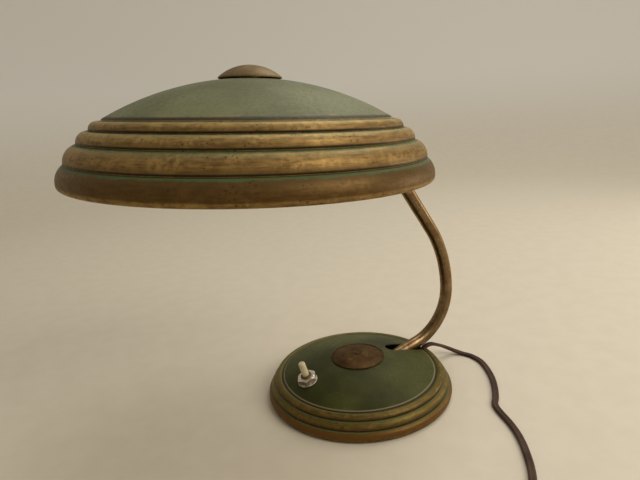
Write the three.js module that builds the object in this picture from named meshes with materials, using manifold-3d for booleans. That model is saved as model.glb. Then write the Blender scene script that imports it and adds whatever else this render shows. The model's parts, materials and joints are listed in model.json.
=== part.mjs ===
// Metal desk lamp: a wide stepped shade on a curved arm that hinges in a slotted, weighted base.
// Millimetres, +Z up. The origin is the middle of the felt's underside, the arm bends in the XZ plane,
// its foot is on the +X side and the shade hangs over toward -X.

import * as THREE from "three";
import { mergeVertices } from "three/addons/utils/BufferGeometryUtils.js";
import Module from "manifold-3d";

const wasm = await Module();
wasm.setup();

// ---- driving dimensions ---------------------------------------------------------------------------

const DEG = Math.PI / 180;
const GAP = 0.3; // clearance between pieces that touch

const SHEET = 1.4; // wall of the base shell
const feltTop = 1.6;
const plateThickness = 1.5;

// Base shell: a shallow dome with three stepped beads round it, as [radius, height].
const domeTop = 33.8;
const domeEdge = [76.2, 19.9];
const baseGrooves = [[82.3, 16.3], [86.4, 9.3]];
const baseWidest = [90, 4.5];
const baseFoot = [89.6, 2.4];
const baseLip = [88.4, 1];
const capHole = 7.5;

const slotHalfWidth = 8;
const slotMiddle = 1.2; // to one side of the arm
const slotInner = 34.6;
const slotOuter = 86.4;

// Arm: a bent tube that starts at its hinge inside the base and ends level, under the shade.
const hinge = [33, 17.5];
const tubeRadius = 6.15;
const tubeBore = 4.9;
const footLength = 10; // from the hinge to the end of the tube
const armLean = 14; // degrees above the horizontal where the arm leaves the base
const armRun = [ // [straight length] or [bend radius, degrees]
  [40.3],
  [54, 90 - armLean],
  [125, 33.4],
  [46],
  [106, 56.6],
  [15.5],
];
const knuckleReach = 17; // from the tube's end to the knuckle's pin

// Shade: seen from its own rim plane, as [radius, height above that plane].
const shadeReach = 86.7; // from the base's axis to the middle of the rim plane
const shadeHeight = 226.2;
const shadeTilt = 2.9; // degrees, toward the arm
const shadeRoll = 2.4; // degrees round the level end of the arm
const shadeWall = 1;
const shadeTop = 71.2;
const shadeDomeEdge = [109.6, 42];
const shadeGrooves = [[110.3, 39.9], [118.5, 33.9], [127.4, 25.2], [137.1, 12]];
const shadeWidest = [143.8, 0];
const hemRadius = 2.6;

// Press switch: on the dome, a little to one side of the arm's plane.
const switchReach = 57.1;
const switchTurn = 4; // degrees round the base's axis from -X
const buttonLength = 21.5; // above the dome
const buttonHoleRadius = 5.4;
const nutFlats = 16;

// Flat twin cord.
const cordWidth = 6;
const cordThickness = 3.2;
const coilCentre = [12, -251];
const coilMiddle = 36; // radius at the middle of the turns
const coilWidth = 13.4;
const coilHeight = 10.2;
const plugLength = 36;
const plugWidth = 26;
const plugHeight = 13;

// ---- materials ------------------------------------------------------------------------------------

const material = (color, roughness, metalness) =>
  new THREE.MeshStandardMaterial({ color, roughness, metalness });

const greenPaint = material(0x5c6b4f, 0.6, 0.1);
const agedBrass = material(0x7a6038, 0.45, 0.85);
const steel = material(0x8c8c88, 0.4, 0.9);
const nickel = material(0xb9b4a6, 0.3, 0.95);
const castIron = material(0x4a4846, 0.75, 0.6);
const brass = material(0xb08d4c, 0.35, 0.95);
const feltGreen = material(0x3c4436, 0.95, 0);
const ivory = material(0xe6dcc0, 0.45, 0);
const porcelain = material(0xe9e5da, 0.3, 0);
const bakelite = material(0x2a1d16, 0.35, 0);
const brownPlastic = material(0x3b211a, 0.5, 0);
const opalGlass = material(0xf4efe2, 0.2, 0);

// ---- shapes ---------------------------------------------------------------------------------------

const lamp = new THREE.Group();

function piece(parent, name, geometry, look, position = [0, 0, 0]) {
  const mesh = new THREE.Mesh(geometry, look);
  mesh.name = name;
  mesh.position.set(...position);
  parent.add(mesh);
  return mesh;
}

// Points along an arc, angles in degrees from the +radius direction.
function arc(centre, radius, from, to, steps) {
  const points = [];
  for (let i = 0; i <= steps; i++) {
    const angle = (from + ((to - from) * i) / steps) * DEG;
    points.push([centre[0] + radius * Math.cos(angle), centre[1] + radius * Math.sin(angle)]);
  }
  return points;
}

// A convex step from one groove down to the next: it ends upright, a little outside that groove.
function bead(start, end, steps = 3) {
  const dr = end[0] - start[0];
  const dz = start[1] - end[1];
  const radius = (dr * dr + dz * dz) / (2 * dr);
  const centre = [end[0] - radius, end[1]];
  const from = Math.atan2(dz, start[0] - centre[0]) / DEG;
  return arc(centre, radius, from, 0, steps);
}

// Both faces of a wall that steps down in beads from a dome's edge, groove by groove.
function steppedWall(edge, grooves, widest, lift, wall) {
  const ends = [...grooves.map(([r, z]) => [r + 0.4, z + lift]), widest];
  const starts = [edge, ...grooves];
  const inner = ([r, z], [endR, endZ]) => bead([r - wall / 2, z - wall], [endR - wall, endZ], 2);
  return [
    starts.flatMap((start, i) => bead(start, ends[i])),
    starts.flatMap((start, i) => inner(start, ends[i])),
  ];
}

// The radius of the sphere whose cap rises from an edge [radius, height] to a top height.
function sphereRadius(edge, top) {
  const rise = top - edge[1];
  return (edge[0] ** 2 + rise ** 2) / (2 * rise);
}

// Points over a spherical dome of that sphere, from one radius to another.
function dome(top, radius, from, to, steps) {
  const angle = (r) => 90 - Math.asin(r / radius) / DEG;
  return arc([0, top - radius], radius, angle(from), angle(to), steps);
}

// A closed outline of [radius, height] points turned about Z.
function turned(outline, segments = 24) {
  const points = outline.map(([r, z]) => new THREE.Vector2(r, z));
  if (THREE.ShapeUtils.area(points) < 0) points.reverse();
  const closed = outline[0][0] > 0 || outline.at(-1)[0] > 0;
  if (closed) points.push(points[0].clone());
  return new THREE.LatheGeometry(points, segments).rotateX(Math.PI / 2);
}

// A ring or tube from one radius and height to another.
function ring(inner, outer, bottom, top, segments = 24) {
  return turned([[inner, bottom], [outer, bottom], [outer, top], [inner, top]], segments);
}

function rod(radius, bottom, top, segments = 20) {
  return new THREE.CylinderGeometry(radius, radius, top - bottom, segments)
    .rotateX(Math.PI / 2)
    .translate(0, 0, (top + bottom) / 2);
}

// A flat outline extruded up Z from a height.
function plate(shape, bottom, top, curveSegments = 10) {
  return new THREE.ExtrudeGeometry(shape, { depth: top - bottom, bevelEnabled: false, curveSegments })
    .translate(0, 0, bottom);
}

// An outline in the XZ plane, extruded to a thickness centred on a place along Y.
function slab(shape, thickness, middle = 0, curveSegments = 10) {
  return new THREE.ExtrudeGeometry(shape, { depth: thickness, bevelEnabled: false, curveSegments })
    .rotateX(Math.PI / 2)
    .translate(0, middle + thickness / 2, 0);
}

function polygon(points) {
  return new THREE.Shape(points.map(([x, y]) => new THREE.Vector2(x, y)));
}

function circle(radius, x = 0, y = 0) {
  return new THREE.Shape().absarc(x, y, radius, 0, 2 * Math.PI);
}

function hexagon(flats, bore) {
  const corner = flats / Math.sqrt(3);
  const shape = polygon([0, 1, 2, 3, 4, 5].map((i) => [
    corner * Math.cos(60 * i * DEG),
    corner * Math.sin(60 * i * DEG),
  ]));
  if (bore) shape.holes.push(circle(bore));
  return shape;
}

// A slot with round ends along X.
function stadium(from, to, half) {
  const shape = new THREE.Shape();
  shape.absarc(to - half, 0, half, -Math.PI / 2, Math.PI / 2);
  shape.absarc(from + half, 0, half, Math.PI / 2, 1.5 * Math.PI);
  shape.closePath();
  return shape;
}

// A round-ended lever in the XZ plane, from an eye at [x, z] along a direction in degrees.
function lever(eye, eyeRadius, bore, direction, length, half) {
  const along = direction * DEG;
  const side = Math.asin(half / eyeRadius);
  const end = (offset) => new THREE.Vector2(
    eye[0] + length * Math.cos(along) - offset * Math.sin(along),
    eye[1] + length * Math.sin(along) + offset * Math.cos(along),
  );
  const shape = new THREE.Shape();
  shape.absarc(eye[0], eye[1], eyeRadius, along + side, along + 2 * Math.PI - side);
  shape.lineTo(end(-half).x, end(-half).y);
  shape.lineTo(end(half).x, end(half).y);
  shape.closePath();
  shape.holes.push(circle(bore, ...eye));
  return shape;
}

// ---- joining and cutting --------------------------------------------------------------------------

function toSolid(geometry) {
  const bare = geometry.clone();
  bare.deleteAttribute("normal");
  bare.deleteAttribute("uv");
  const merged = mergeVertices(bare, 1e-4);
  return new wasm.Manifold(new wasm.Mesh({
    numProp: 3,
    vertProperties: new Float32Array(merged.attributes.position.array),
    triVerts: new Uint32Array(merged.index.array),
  }));
}

function toGeometry(result) {
  const mesh = result.getMesh();
  const geometry = new THREE.BufferGeometry();
  geometry.setAttribute("position", new THREE.BufferAttribute(mesh.vertProperties, 3));
  geometry.setIndex(new THREE.BufferAttribute(mesh.triVerts, 1));
  geometry.computeVertexNormals();
  return geometry;
}

const cut = (body, ...tools) =>
  toGeometry(tools.reduce((whole, tool) => whole.subtract(toSolid(tool)), toSolid(body)));

const join = (...bodies) => toGeometry(bodies.map(toSolid).reduce((whole, body) => whole.add(body)));

// ---- base -----------------------------------------------------------------------------------------

const domeSphere = sphereRadius(domeEdge, domeTop);
const ballastTop = 15;
const ballastFloor = 7;
const plateBottom = feltTop + GAP;
const plateTop = plateBottom + plateThickness;
const ballastBottom = plateTop + GAP;
const switchTilt = Math.asin(switchReach / domeSphere);
const screwHoleRadius = 2.3;

// A group whose Z axis is the switch's axis, with its origin on the dome's outer surface.
function switchFrame() {
  const turn = new THREE.Group();
  turn.rotation.z = switchTurn * DEG;
  const seat = new THREE.Group();
  seat.position.set(-switchReach, 0, domeTop - domeSphere * (1 - Math.cos(switchTilt)));
  seat.rotation.y = -switchTilt;
  turn.add(seat);
  lamp.add(turn);
  lamp.updateMatrixWorld(true);
  return seat;
}

const switchSeat = switchFrame();

function baseShell() {
  const [outside, inside] = steppedWall(domeEdge, baseGrooves, baseWidest, 0.6, SHEET);
  const slot = plate(stadium(slotInner, slotOuter, slotHalfWidth), ballastTop + 1, domeTop)
    .translate(0, slotMiddle, 0);
  const buttonHole = rod(buttonHoleRadius, -8, 8).applyMatrix4(switchSeat.matrixWorld);
  const outline = [
    ...dome(domeTop, domeSphere, capHole, domeEdge[0], 4),
    ...outside,
    baseFoot,
    baseLip,
    [baseLip[0] - SHEET, baseLip[1]],
    ...inside.reverse(),
    ...dome(domeTop - SHEET, domeSphere - SHEET, capHole, domeEdge[0] - SHEET, 4).reverse(),
  ];
  return cut(turned(outline, 36), slot, buttonHole);
}

// Cast weight with a pillar for the cap's stud, a trough for the arm and a pocket for the switch.
function ballast() {
  const pillarTop = domeTop - 2.5;
  const weight = turned([
    [4.4, ballastBottom], [70, ballastBottom], [72, 6], [72, 11], [68, ballastTop],
    [16, ballastTop], [11, 19], [11, pillarTop], [4.4, pillarTop],
  ], 28);
  const trough = new THREE.BoxGeometry(63, 26, 20).translate(45, 0, ballastFloor + 10);
  const pocketReach = switchReach - 3;
  const pocket = rod(16, 0, 30, 24).translate(
    -pocketReach * Math.cos(switchTurn * DEG),
    -pocketReach * Math.sin(switchTurn * DEG),
    0,
  );
  const screwHoles = [...plateScrewPlaces(), ...bracketScrewPlaces()].map(([x, y]) =>
    rod(screwHoleRadius, 0, 11, 12).translate(x, y, 0));
  return cut(weight, trough, pocket, ...screwHoles);
}

function plateScrewPlaces() {
  return [90, 210, 330].map((angle) => [50 * Math.cos(angle * DEG), 50 * Math.sin(angle * DEG)]);
}

function bracketScrewPlaces() {
  return [-4.6, 4.6].map((y) => [47, y]);
}

function countersunk(radius, bottom, top, shaft, shaftTop) {
  return turned([[0, bottom], [radius, bottom], [shaft, top], [shaft, shaftTop], [0, shaftTop]], 16);
}

function bottomPlate() {
  const sinks = plateScrewPlaces().map(([x, y]) =>
    countersunk(4.3, plateBottom - 0.2, plateTop - 0.1, 2.4, plateTop + 1).translate(x, y, 0));
  return cut(rod(86.4, plateBottom, plateTop, 40), ...sinks);
}

piece(lamp, "base_shell", baseShell(), greenPaint);
piece(lamp, "ballast", ballast(), castIron);
piece(lamp, "bottom_plate", bottomPlate(), steel);
piece(lamp, "felt_pad", rod(84.5, 0, feltTop, 40), feltGreen);
plateScrewPlaces().forEach(([x, y], i) => {
  const screw = countersunk(3.8, plateBottom, plateTop, 2, 10.5);
  piece(lamp, `plate_screw_${i + 1}`, screw, steel, [x, y, 0]);
});

// Low domed cap on the dome, held by a riveted stud that screws into the ballast's pillar.
function baseCap() {
  const rim = [25.7, domeTop - 0.8];
  const top = domeTop + 2.4;
  const sphere = sphereRadius(rim, top);
  return turned([
    ...dome(top, sphere, 3, rim[0], 5),
    ...dome(domeTop + GAP, domeSphere + GAP, 3, rim[0], 2).reverse(),
  ], 24);
}

function baseCapStud() {
  const nub = domeTop + 3.2;
  return turned([
    [0, 14], [4, 14], [4, domeTop - 2.1], [6.2, domeTop - 2.1], [6.2, domeTop - 0.1], [2.6, domeTop - 0.1],
    [2.6, nub - 0.9], [2.3, nub - 0.3], [1.2, nub], [0, nub],
  ], 16);
}

piece(lamp, "base_cap", baseCap(), agedBrass);
piece(lamp, "base_cap_stud", baseCapStud(), brass);

// ---- arm hinge inside the base --------------------------------------------------------------------

const cheekInner = 3.4;
const cheekThickness = 2.2;
const cheekOuter = cheekInner + cheekThickness;
const cheekRadius = 6.5;
const pinRadius = 3;
const bracketFloor = ballastFloor + GAP;

function hingeBracket() {
  const floorTop = bracketFloor + 2;
  const floor = new THREE.BoxGeometry(25, 2 * 8.4, 2).translate(hinge[0] + 6, 0, bracketFloor + 1);
  const cheek = lever(hinge, cheekRadius, pinRadius + GAP, 270, hinge[1] - floorTop + 1, cheekRadius - 0.1);
  const cheeks = [-1, 1].map((side) =>
    slab(cheek, cheekThickness, side * (cheekInner + cheekThickness / 2)));
  const holes = bracketScrewPlaces().map(([x, y]) =>
    rod(screwHoleRadius, bracketFloor - 1, floorTop + 1, 12).translate(x, y, 0));
  return cut(join(floor, ...cheeks), ...holes);
}

// Pan-head screw pointing down, its head's underside at z = 0.
function panScrew(head, headHeight, shaft, length) {
  return turned([[0, -length], [shaft, -length], [shaft, 0], [head, 0], [head, headHeight * 0.6],
    [head * 0.6, headHeight], [0, headHeight]], 16);
}

// Cheese-head bolt along Y whose head is on the -Y side, between two distances from the middle.
function crossBolt(headFace, end, head = 5.4) {
  return turned([[0, -headFace - 3.4], [head, -headFace - 3.4], [head, -headFace],
    [pinRadius, -headFace], [pinRadius, end], [0, end]], 20).rotateX(-Math.PI / 2);
}

const acrossHinge = (geometry) => geometry.rotateX(-Math.PI / 2);

piece(lamp, "hinge_bracket", hingeBracket(), steel);
bracketScrewPlaces().forEach(([x, y], i) => {
  const screw = panScrew(3.4, 2.4, 2, 5);
  piece(lamp, `hinge_screw_${i + 1}`, screw, steel, [x, y, bracketFloor + 2 + GAP]);
});
const hingePlace = [hinge[0], 0, hinge[1]];
piece(lamp, "hinge_bolt", crossBolt(cheekOuter + GAP, 12.6), steel, hingePlace);
piece(lamp, "hinge_spring_washer", acrossHinge(ring(3.3, 5.8, cheekOuter + GAP, cheekOuter + 2)), steel, hingePlace);
piece(
  lamp,
  "hinge_nut",
  acrossHinge(plate(hexagon(10, 3.3), cheekOuter + 2 + GAP, cheekOuter + 7)),
  steel,
  hingePlace,
);

// ---- press switch ---------------------------------------------------------------------------------

const nutBottom = 1.6;
const nutTop = nutBottom + 5;

function switchNut() {
  const hex = plate(hexagon(nutFlats, 5.3), nutBottom, nutTop);
  const corner = nutFlats / Math.sqrt(3);
  const blank = turned([[0, nutBottom], [corner, nutBottom], [corner, nutTop - 1], [nutFlats / 2 - 0.4, nutTop],
    [0, nutTop]], 24);
  return toGeometry(toSolid(hex).intersect(toSolid(blank)));
}

function switchBody() {
  return turned([[0, -19], [10.4, -19], [11.5, -18], [11.5, -4.5], [6.2, -4.5], [6.2, -16], [0, -16]], 24);
}

function switchBushing() {
  return turned([[3.5, -4.2], [8, -4.2], [8, -2.5], [5, -2.5], [5, 7.6], [4.6, 8.1], [3.5, 8.1]], 24);
}

function switchButton() {
  const radius = 3.15;
  return turned([[0, -9.6], [2, -9.6], [2, -6.6], [5.6, -6.6], [5.6, -4.6], [radius, -4.6],
    [radius, buttonLength - 1], [radius - 0.7, buttonLength - 0.2], [radius - 1.8, buttonLength],
    [0, buttonLength]], 20);
}

class Helix extends THREE.Curve {
  constructor(radius, turns, bottom, top) {
    super();
    Object.assign(this, { radius, turns, bottom, top });
  }

  getPoint(t, target = new THREE.Vector3()) {
    const angle = 2 * Math.PI * this.turns * t;
    return target.set(
      this.radius * Math.cos(angle),
      this.radius * Math.sin(angle),
      this.bottom + (this.top - this.bottom) * t,
    );
  }
}

function switchSpring() {
  const wire = 0.4;
  return new THREE.ExtrudeGeometry(circle(wire), {
    steps: 36,
    curveSegments: 2,
    extrudePath: new Helix(4.1, 4, -15.2, -7.4),
  });
}

piece(switchSeat, "switch_body", switchBody(), bakelite);
piece(switchSeat, "switch_bushing", switchBushing(), brass);
piece(switchSeat, "switch_washer", ring(5.3, 9.3, GAP, 1.3), nickel);
piece(switchSeat, "switch_nut", switchNut(), nickel);
piece(switchSeat, "switch_button", switchButton(), ivory);
piece(switchSeat, "switch_spring", switchSpring(), steel);

// ---- arm ------------------------------------------------------------------------------------------

// A straight or bent run in the XZ plane from a place and a heading in degrees.
class Run extends THREE.Curve {
  constructor(start, heading, length, bendRadius) {
    super();
    Object.assign(this, { start, heading, length, bendRadius });
  }

  getPoint(t, target = new THREE.Vector3()) {
    const [x, z] = this.start;
    const from = this.heading * DEG;
    const run = this.length * t;
    if (!this.bendRadius) return target.set(x + run * Math.cos(from), 0, z + run * Math.sin(from));
    const to = from + run / this.bendRadius;
    return target.set(
      x + this.bendRadius * (Math.sin(to) - Math.sin(from)),
      0,
      z + this.bendRadius * (Math.cos(from) - Math.cos(to)),
    );
  }
}

// The arm's centreline, from a distance past the hinge to a distance before the tube's far end.
function armLine(skipStart, skipEnd) {
  const path = new THREE.CurvePath();
  let heading = armLean;
  const direction = [Math.cos(heading * DEG), Math.sin(heading * DEG)];
  let start = hinge.map((at, i) => at + skipStart * direction[i]);
  armRun.forEach(([size, bend], i) => {
    const last = i === armRun.length - 1;
    const length = bend ? size * bend * DEG : size - (i === 0 ? skipStart : 0) - (last ? skipEnd : 0);
    const run = new Run(start, heading, length, bend ? size : 0);
    path.add(run);
    const end = run.getPoint(1);
    start = [end.x, end.z];
    heading += bend ?? 0;
  });
  return path;
}

function armTube() {
  const section = circle(tubeRadius);
  section.holes.push(circle(tubeBore));
  return new THREE.ExtrudeGeometry(section, { steps: 38, curveSegments: 5, extrudePath: armLine(footLength, 0) });
}

// Flat forging: an eye on the hinge bolt and a tang inside the tube.
function armFoot() {
  return slab(lever(hinge, 5.6, pinRadius + GAP, armLean, footLength + 16, 2.9), 6.2);
}

function armLead() {
  return new THREE.ExtrudeGeometry(circle(1.8), {
    steps: 28,
    curveSegments: 3,
    extrudePath: armLine(footLength + 18, 17),
  });
}

const armEnd = armLine(0, 0).getPoint(1);
const knuckle = [armEnd.x - knuckleReach, armEnd.z];
const collarLength = 9;
const screwFromEnd = 4.5; // from the tube's end to the grub screw

// Ring on the tube's end that carries the grub screw.
function armCollar() {
  const sleeve = ring(tubeRadius + GAP, 8.6, 0, collarLength, 28).rotateY(Math.PI / 2);
  return cut(sleeve, rod(1.7, -12, 0, 12).translate(screwFromEnd, 0, 0)).translate(armEnd.x, 0, armEnd.z);
}

function armTubeDrilled() {
  return cut(armTube(), rod(1.7, -12, 0, 12).translate(armEnd.x + screwFromEnd, 0, armEnd.z));
}

piece(lamp, "arm_tube", armTubeDrilled(), agedBrass);
piece(lamp, "arm_foot", armFoot(), steel);
piece(lamp, "arm_lead", armLead(), brownPlastic);
piece(lamp, "arm_collar", armCollar(), agedBrass);
piece(lamp, "swivel_grub_screw", rod(1.4, -8.4, -3.9, 12), steel, [armEnd.x + screwFromEnd, 0, armEnd.z]);

// ---- knuckle: swivels on the arm's level end, and carries the shade's pin --------------------------

const swivel = new THREE.Group();
swivel.position.set(knuckle[0], 0, knuckle[1]);
swivel.rotation.x = shadeRoll * DEG;
lamp.add(swivel);

const forkInner = 3.4;
const forkThickness = 2.6;
const forkOuter = forkInner + forkThickness;
const forkRadius = 6.5;

// Fork with a grooved shank that turns inside the tube. Its own X axis is the arm's end.
function knuckleFork() {
  const shankStart = knuckleReach - 3;
  const groove = knuckleReach + screwFromEnd;
  const shank = turned([
    [0, shankStart - 3], [forkOuter, shankStart - 3], [forkOuter, knuckleReach - GAP],
    [4.5, knuckleReach - GAP], [4.5, groove - 1.9], [3.5, groove - 1.9], [3.5, groove + 1.9],
    [4.5, groove + 1.9], [4.5, knuckleReach + 14], [0, knuckleReach + 14],
  ], 24).rotateY(Math.PI / 2);
  const cheek = lever([0, 0], forkRadius, pinRadius + GAP, 0, shankStart, 5);
  const cheeks = [-1, 1].map((side) =>
    slab(cheek, forkThickness, side * (forkInner + forkThickness / 2)));
  return join(shank, ...cheeks);
}

piece(swivel, "knuckle_fork", knuckleFork(), agedBrass);
piece(swivel, "knuckle_bolt", crossBolt(forkOuter + GAP, 13.4, 5), brass);
piece(swivel, "knuckle_washer", acrossHinge(ring(3.3, 5.6, forkOuter + GAP, forkOuter + 1.6)), steel);
piece(swivel, "knuckle_nut", acrossHinge(plate(hexagon(10, 3.3), forkOuter + 1.6 + GAP, forkOuter + 6.6)), brass);

// ---- shade ----------------------------------------------------------------------------------------

// The group's origin is the middle of the rim plane and its Z axis is the shade's own axis.
const shade = new THREE.Group();
const tilt = shadeTilt * DEG;
const offset = [shadeReach + knuckle[0], shadeHeight - knuckle[1]];
shade.position.set(-offset[0], 0, offset[1]);
shade.rotation.y = tilt;
swivel.add(shade);

// The knuckle's pin, seen from the shade.
const pin = [
  offset[0] * Math.cos(tilt) + offset[1] * Math.sin(tilt),
  offset[0] * Math.sin(tilt) - offset[1] * Math.cos(tilt),
];

const shadeSphere = sphereRadius(shadeDomeEdge, shadeTop);
const shadeInside = shadeTop - shadeWall;
const nippleRadius = 5;

function shadeShell() {
  const [top, ...lower] = shadeGrooves;
  const [outside, inside] = steppedWall(top, lower, shadeWidest, 0.8, shadeWall);
  const bore = nippleRadius + 0.4;
  return turned([
    ...dome(shadeTop, shadeSphere, bore, shadeDomeEdge[0], 6),
    ...outside,
    ...arc([shadeWidest[0] - hemRadius, -1.4], hemRadius, 0, -180, 4),
    ...inside.reverse(),
    ...dome(shadeInside, shadeSphere - shadeWall, bore, shadeDomeEdge[0] - shadeWall, 5).reverse(),
  ], 38);
}

function shadeCap() {
  const rim = [24.8, shadeTop + 0.6];
  const top = shadeTop + 9.8;
  const wall = 1.2;
  const sphere = sphereRadius(rim, top);
  const boss = shadeTop + 4.6;
  return turned([
    [0, boss + 2.4],
    [nippleRadius + 0.4, boss + 2.4],
    [nippleRadius + 0.4, boss],
    [8, boss],
    ...dome(top - wall, sphere - wall, 8, 23, 3),
    [23.8, rim[1] - 0.9],
    [rim[0], rim[1] - 0.9],
    ...dome(top, sphere, 0, rim[0], 5).reverse(),
  ], 24);
}

const bossRadius = 11;
const bossTop = shadeInside - 3 * GAP;
const bossBottom = bossTop - 5;
const lockNutBottom = bossBottom - GAP - 2.5;

// Cast bracket: an eye on the knuckle's pin, an upright and a boss on the nipple, under the dome.
function shadeBracket() {
  const half = 4;
  const ceiling = (r) => bossTop - r ** 2 / (2 * shadeSphere) - 3 * GAP;
  const corner = pin[0] + half;
  const upright = lever(pin, 6, pinRadius + GAP, 90, bossBottom - pin[1] - 1, half);
  const crossbar = polygon([
    [bossRadius - 1, bossBottom], [pin[0] - half - 3, bossBottom - 2], [pin[0] - half, bossBottom - 5],
    [corner, bossBottom - 5], [corner, ceiling(corner) - 1], [corner - 2, ceiling(corner)],
    [pin[0] / 2, ceiling(pin[0] / 2)], [bossRadius - 1, ceiling(bossRadius)],
  ]);
  const boss = ring(nippleRadius + 0.4, bossRadius, bossBottom, bossTop);
  return join(slab(upright, 6.2), slab(crossbar, 6.2), boss);
}

piece(shade, "shade_shell", shadeShell(), greenPaint);
piece(shade, "shade_cap", shadeCap(), agedBrass);
piece(shade, "cap_spacer", ring(nippleRadius + 0.4, 8, shadeTop + GAP, shadeTop + 4.2), brass);
piece(shade, "nipple", ring(3.4, nippleRadius, lockNutBottom - 8, shadeTop + 6.4), brass);
piece(shade, "shade_bracket", shadeBracket(), agedBrass);
piece(shade, "lock_nut", plate(hexagon(15, nippleRadius + 0.4), lockNutBottom, lockNutBottom + 2.5), brass);

// ---- lampholder and bulb --------------------------------------------------------------------------

const holderTop = lockNutBottom - GAP;
const holderSplit = holderTop - 11;
const holderBottom = holderTop - 33;

function holderCap() {
  const wall = 2;
  return turned([
    [nippleRadius + 0.4, holderTop],
    [9, holderTop],
    ...arc([9, holderTop - 6], 6, 75, 0, 3),
    [15, holderSplit + GAP],
    [15 - wall, holderSplit + GAP],
    [15 - wall, holderTop - 6],
    [10, holderTop - wall],
    [nippleRadius + 0.4, holderTop - wall],
  ], 24);
}

function holderBody() {
  const insideTop = holderSplit - 4;
  return turned([
    [2.6, holderSplit], [14.2, holderSplit], [14.2, holderBottom], [8, holderBottom],
    [8, insideTop], [2.6, insideTop],
  ], 24);
}

const bulbTop = holderSplit - 6;
const bulbCapBottom = holderBottom - 1;
const bulbRadius = 22.5;
const bulbMiddle = bulbCapBottom - 24.5;

function bulbCap() {
  return turned([
    [2.8, bulbTop], [5.6, bulbTop], [7, bulbTop - 2], [7, bulbCapBottom], [6.2, bulbCapBottom],
    [6.2, bulbTop - 2.4], [2.8, bulbTop - 1],
  ], 20);
}

// Blown globe, open at its neck, which stands a little way into the cap.
function bulbGlass() {
  const wall = 0.8;
  const neck = 5.9;
  const neckAngle = Math.asin(neck / bulbRadius) / DEG;
  const globe = arc([0, bulbMiddle], bulbRadius, -90, 90 - neckAngle, 8);
  const hollow = arc([0, bulbMiddle], bulbRadius - wall, -90, 90 - neckAngle, 6).reverse();
  const neckTop = bulbCapBottom + 8;
  return turned([...globe, [neck, neckTop], [neck - wall, neckTop], ...hollow], 22);
}

piece(shade, "holder_cap", holderCap(), bakelite);
piece(shade, "holder_body", holderBody(), porcelain);
piece(shade, "holder_ring", ring(14.5, 17.5, holderBottom + 5, holderBottom + 11), bakelite);
piece(shade, "holder_contact", turned([[0, holderSplit - 5.4], [1.8, holderSplit - 5.4],
  [1.8, holderSplit - 0.4], [0, holderSplit - 0.4]], 12), brass);
piece(shade, "bulb_cap", bulbCap(), brass);
piece(shade, "bulb_contact", rod(2.4, bulbTop - 2, bulbTop, 12), steel);
piece(shade, "bulb_glass", bulbGlass(), opalGlass);
piece(shade, "bulb_stem", turned([[0, bulbMiddle - 4], [2.2, bulbMiddle - 4], [1.6, bulbMiddle + 6],
  [3.6, bulbCapBottom + 6], [0, bulbCapBottom + 6]], 12), porcelain);

// ---- cord -----------------------------------------------------------------------------------------

const gripOuter = 60; // the cord leaves the grip's +X face here
const gripMiddle = -3.4; // to one side of the arm
const flat = cordThickness / 2 + 0.1; // height of the cord's middle where it lies on the table

const cordRoute = [
  [gripOuter + GAP, gripMiddle, 10.6],
  [65, -3.4, 10.8],
  [70.4, -3.4, 13],
  [75, -3.4, 17],
  [79.6, -3.4, 20.4],
  [84.6, -3.3, 21.8],
  [91, -2.6, 20.8],
  [99, -1, 16.8],
  [107, 0.4, 12.4],
  [115, -0.8, 7.8],
  [122, -4.6, 3.8],
  [127, -10.4, flat],
  [130.6, -19, flat],
  [130.6, -33, flat],
  [124, -49, flat],
  [115.4, -63.6, flat],
  [104.4, -77.6, flat],
  [93, -89.4, flat],
  [84.2, -97, flat],
  [79.4, -107, flat],
  [74.6, -122, flat],
  [68.8, -135.4, flat],
  [62.2, -146.6, flat],
  [55, -156.6, flat],
  [46.4, -167.4, flat],
  [36.6, -177.4, flat],
  [24, -187.6, flat],
  [10, -197.4, flat],
  [-4.6, -208.4, flat],
];

// The cord's line: its flat section never rolls, so its width stays level.
class LevelLine extends THREE.CatmullRomCurve3 {
  computeFrenetFrames(segments) {
    const up = new THREE.Vector3(0, 0, 1);
    const tangents = Array.from({ length: segments + 1 }, (_, i) => this.getTangentAt(i / segments));
    const normals = tangents.map((along) => up.clone().cross(along).normalize());
    const binormals = tangents.map((along, i) => along.clone().cross(normals[i]));
    return { tangents, normals, binormals };
  }
}

function cord() {
  const edge = (cordWidth - cordThickness) / 2;
  const line = new LevelLine(cordRoute.map((at) => new THREE.Vector3(...at)));
  return new THREE.ExtrudeGeometry(stadium(-edge - cordThickness / 2, edge + cordThickness / 2, cordThickness / 2), {
    steps: 46,
    curveSegments: 2,
    extrudePath: line,
  });
}

// Clamp block that holds the cord and sends it on to the switch as a thinner lead.
function cordGrip() {
  const block = new THREE.BoxGeometry(8, 12, 6.4).translate(gripOuter - 4, gripMiddle, bracketFloor + 3.2);
  return cut(block, rod(1.9, bracketFloor + 2, 30, 12).translate(gripOuter - 4, gripMiddle, 0));
}

const leadRoute = [
  [56, -11.2, 11.6],
  [54.6, -11, 15],
  [50, -13, 18.6],
  [38, -19, 18.6],
  [16, -23, 18.6],
  [-8, -22, 18.6],
  [-26, -14, 18.6],
  [-39.4, -7, 19],
];

function baseLead() {
  const line = new THREE.CatmullRomCurve3(leadRoute.map((at) => new THREE.Vector3(...at)));
  return new THREE.ExtrudeGeometry(circle(1.3), { steps: 22, curveSegments: 3, extrudePath: line });
}

piece(lamp, "cord_grip", cordGrip(), bakelite);
piece(lamp, "grip_screw", panScrew(3, 2, 1.6, 4.4), steel, [gripOuter - 4, gripMiddle, bracketFloor + 6.4 + GAP]);
piece(lamp, "base_lead", baseLead(), brownPlastic);
piece(lamp, "cord", cord(), brownPlastic);

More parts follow.
